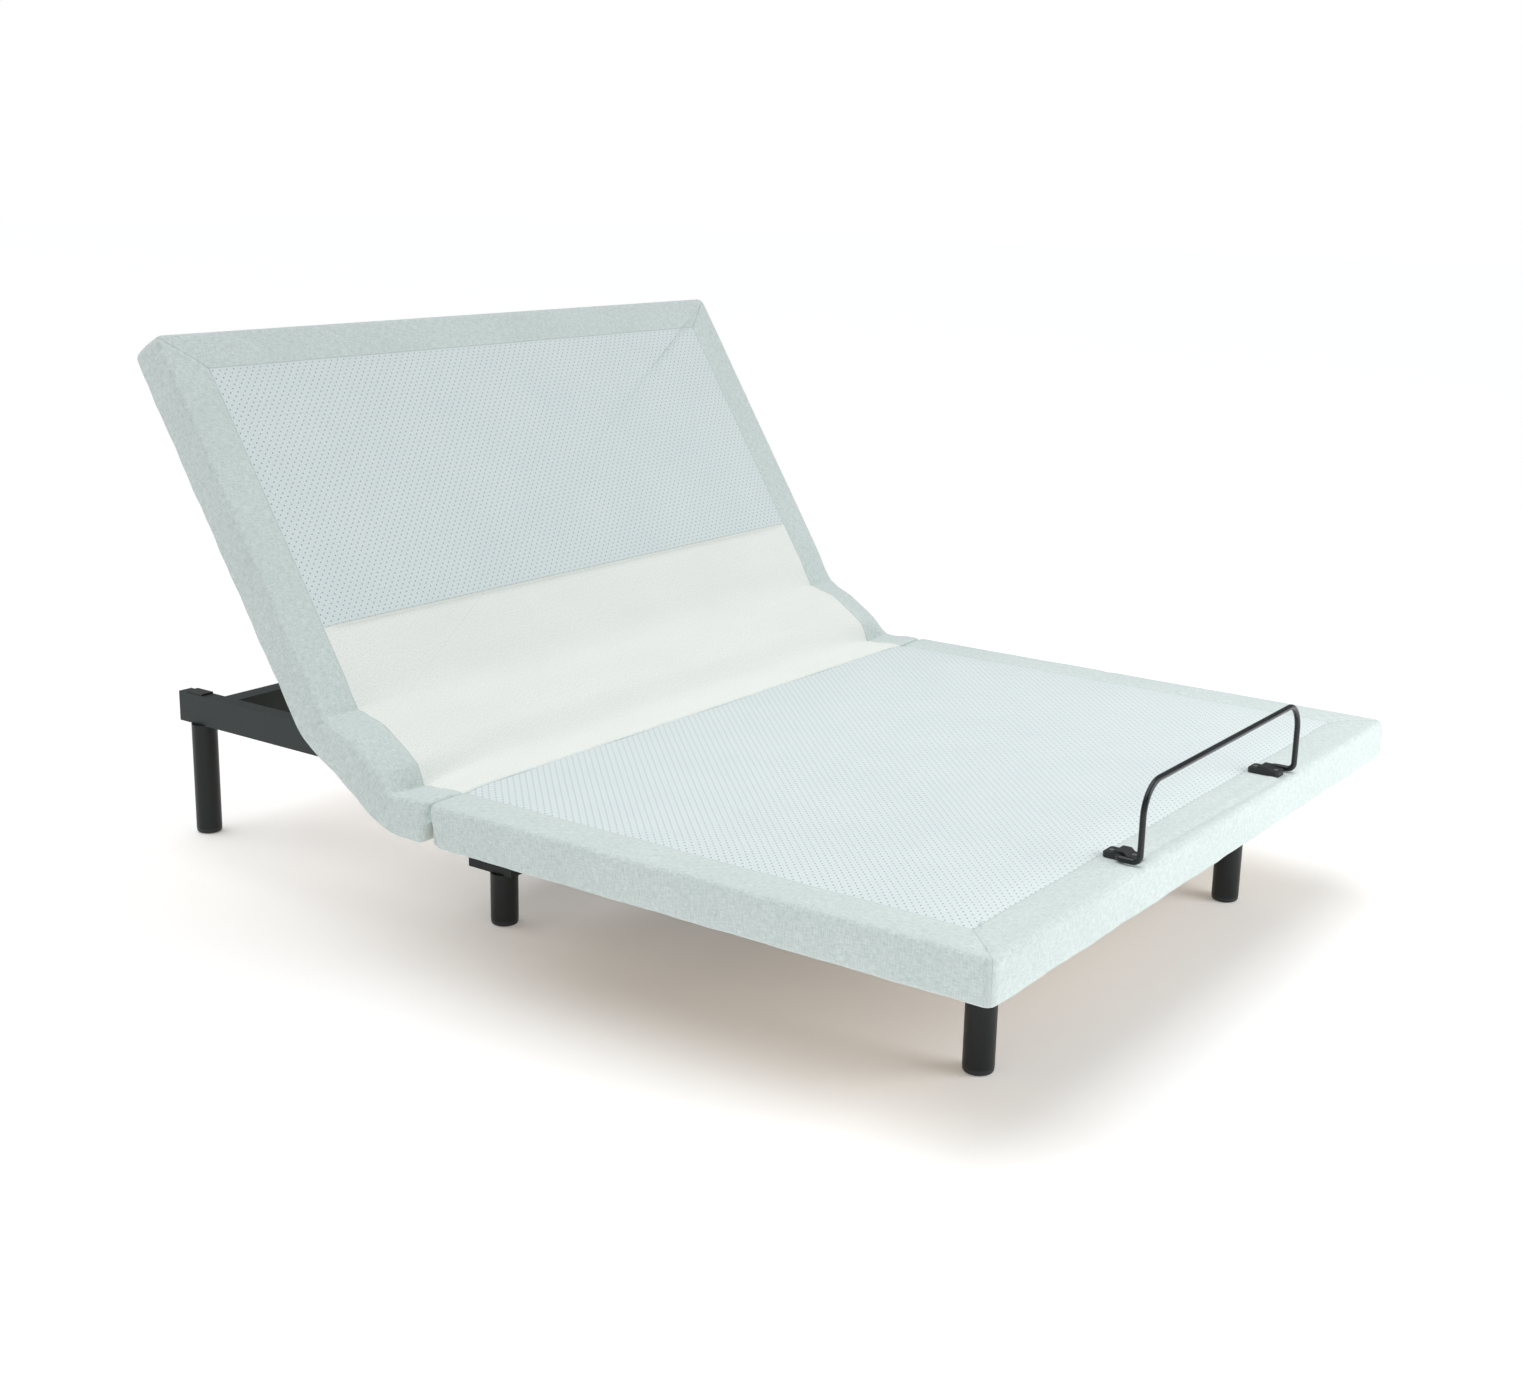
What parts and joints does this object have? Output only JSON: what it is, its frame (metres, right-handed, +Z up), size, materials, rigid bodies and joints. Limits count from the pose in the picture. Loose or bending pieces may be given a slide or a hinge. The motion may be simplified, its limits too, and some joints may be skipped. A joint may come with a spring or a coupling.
{
  "type": "adjustable bed base",
  "caption": "Powered adjustable bed base: upholstered platform sections that lift for back, thighs and feet, on a steel frame with round legs and a mattress retainer bar.",
  "frame": {"origin": "on the floor, under the middle of the whole base with its back raised", "axes": "+Z up, +Y from the foot end toward the head end, +X toward the side on the left of someone lying on it with the head at +Y"},
  "size_m": [1.524, 2, 1.0216],
  "materials": {
    "slate_paint": "satin powder coat",
    "black_paint": "fine-textured powder coat",
    "black_plastic": "fine grain",
    "zinc": "zinc plated",
    "nylon": "plain",
    "plywood": "sanded plywood",
    "timber": "planed softwood",
    "upholstery": "woven linen-look cloth over foam"
  },
  "bodies": {
    "frame": {"head_rail_left": "slate_paint", "head_rail_right": "slate_paint", "foot_rail_left": "slate_paint", "foot_rail_right": "slate_paint", "head_cross_tube": "slate_paint", "foot_cross_tube": "slate_paint", "anchor_tubes": "black_paint", "splice_hanger_left": "black_paint", "splice_hanger_right": "black_paint", "splice_bolts": "zinc", "rail_end_caps": "black_plastic", "rest_pads": "black_plastic", "head_legs": "black_paint", "mid_legs": "black_paint", "foot_legs": "black_paint", "leg_glides": "black_plastic", "leg_studs": "zinc", "tube_bearings": "nylon", "actuator_anchors": "black_paint", "head_actuator_motor": "black_plastic", "head_actuator_tube": "zinc", "leg_actuator_motor": "black_plastic", "leg_actuator_tube": "zinc", "control_box": "black_plastic", "power_inlet": "black_plastic", "strut_pivots": "zinc", "seat_board": "plywood", "seat_pad": "upholstery", "seat_hinges": "zinc"},
    "lumbar": {"lumbar_board": "plywood", "lumbar_pad": "upholstery", "lumbar_hinges": "zinc"},
    "back": {"back_board": "plywood", "back_pad": "upholstery", "back_apron": "timber", "back_frame": "black_paint", "back_hinges": "zinc"},
    "head_lift": {"head_torque_tube": "black_paint", "head_lift_arms": "black_paint", "head_lever": "black_paint"},
    "head_roller_pair": {"head_rollers": "nylon"},
    "head_push_rod": {"head_rod": "zinc"},
    "thigh": {"thigh_board": "plywood", "thigh_pad": "upholstery", "thigh_apron": "timber", "thigh_frame": "black_paint", "thigh_hinges": "zinc"},
    "foot": {"foot_board": "plywood", "foot_pad": "upholstery", "foot_apron": "timber", "foot_frame": "black_paint", "retainer_brackets": "black_plastic", "retainer_screws": "zinc"},
    "leg_lift": {"leg_torque_tube": "black_paint", "leg_lift_arms": "black_paint", "leg_lever": "black_paint"},
    "leg_roller_pair": {"leg_rollers": "nylon"},
    "leg_push_rod": {"leg_rod": "zinc"},
    "struts": {"foot_struts": "black_paint"},
    "retainer": {"retainer_bar": "black_paint"}
  },
  "joints": [
    {"name": "back_lift", "type": "hinge", "parent": "frame", "child": "lumbar", "pos_m": [0, 0.124, 0.304], "axis": [1, 0, 0], "range_deg": [-32.9, 0]},
    {"name": "back_fold", "type": "hinge", "parent": "lumbar", "child": "back", "pos_m": [0, 0.28353, 0.4072], "axis": [1, 0, 0], "range_deg": [-24.8, 0]},
    {"name": "head_tube_turn", "type": "hinge", "parent": "frame", "child": "head_lift", "pos_m": [0, 0.2, 0.25], "axis": [1, 0, 0], "range_deg": [-51.3, 0]},
    {"name": "head_rod_slide", "type": "slide", "parent": "frame", "child": "head_push_rod", "axis": [0, 1, 0], "range_m": [-0.12, 0]},
    {"name": "head_roller_spin", "type": "hinge", "parent": "head_lift", "child": "head_roller_pair", "pos_m": [0, 0.42899, 0.52778], "axis": [1, 0, 0], "continuous": true},
    {"name": "thigh_lift", "type": "hinge", "parent": "frame", "child": "thigh", "pos_m": [0, 0.034, 0.304], "axis": [-1, 0, 0], "range_deg": [0, 35]},
    {"name": "knee_fold", "type": "hinge", "parent": "thigh", "child": "foot", "pos_m": [0, -0.42, 0.266], "axis": [1, 0, 0], "range_deg": [0, 43.8]},
    {"name": "leg_tube_turn", "type": "hinge", "parent": "frame", "child": "leg_lift", "pos_m": [0, -0.04, 0.25], "axis": [-1, 0, 0], "range_deg": [0, 41.4]},
    {"name": "leg_rod_slide", "type": "slide", "parent": "frame", "child": "leg_push_rod", "axis": [0, -1, 0], "range_m": [0, 0.0943]},
    {"name": "leg_roller_spin", "type": "hinge", "parent": "leg_lift", "child": "leg_roller_pair", "pos_m": [0, -0.33996, 0.24529], "axis": [1, 0, 0], "continuous": true},
    {"name": "strut_swing", "type": "hinge", "parent": "frame", "child": "struts", "pos_m": [0, -0.55, 0.24], "axis": [-1, 0, 0], "range_deg": [0, 33.7]},
    {"name": "retainer_swing", "type": "hinge", "parent": "foot", "child": "retainer", "pos_m": [0, -0.954, 0.326], "axis": [-1, 0, 0], "range_deg": [0, 105]}
  ],
  "couplings": [
    {"joint": "back_fold", "follows": "back_lift", "ratio": 0.75379},
    {"joint": "head_tube_turn", "follows": "back_lift", "ratio": 1.5562},
    {"joint": "head_rod_slide", "follows": "back_lift", "m_per_rad": 0.2086},
    {"joint": "knee_fold", "follows": "thigh_lift", "ratio": 1.25},
    {"joint": "leg_tube_turn", "follows": "thigh_lift", "ratio": 1.18},
    {"joint": "leg_rod_slide", "follows": "thigh_lift", "m_per_rad": 0.1542},
    {"joint": "strut_swing", "follows": "thigh_lift", "ratio": 0.961}
  ]
}
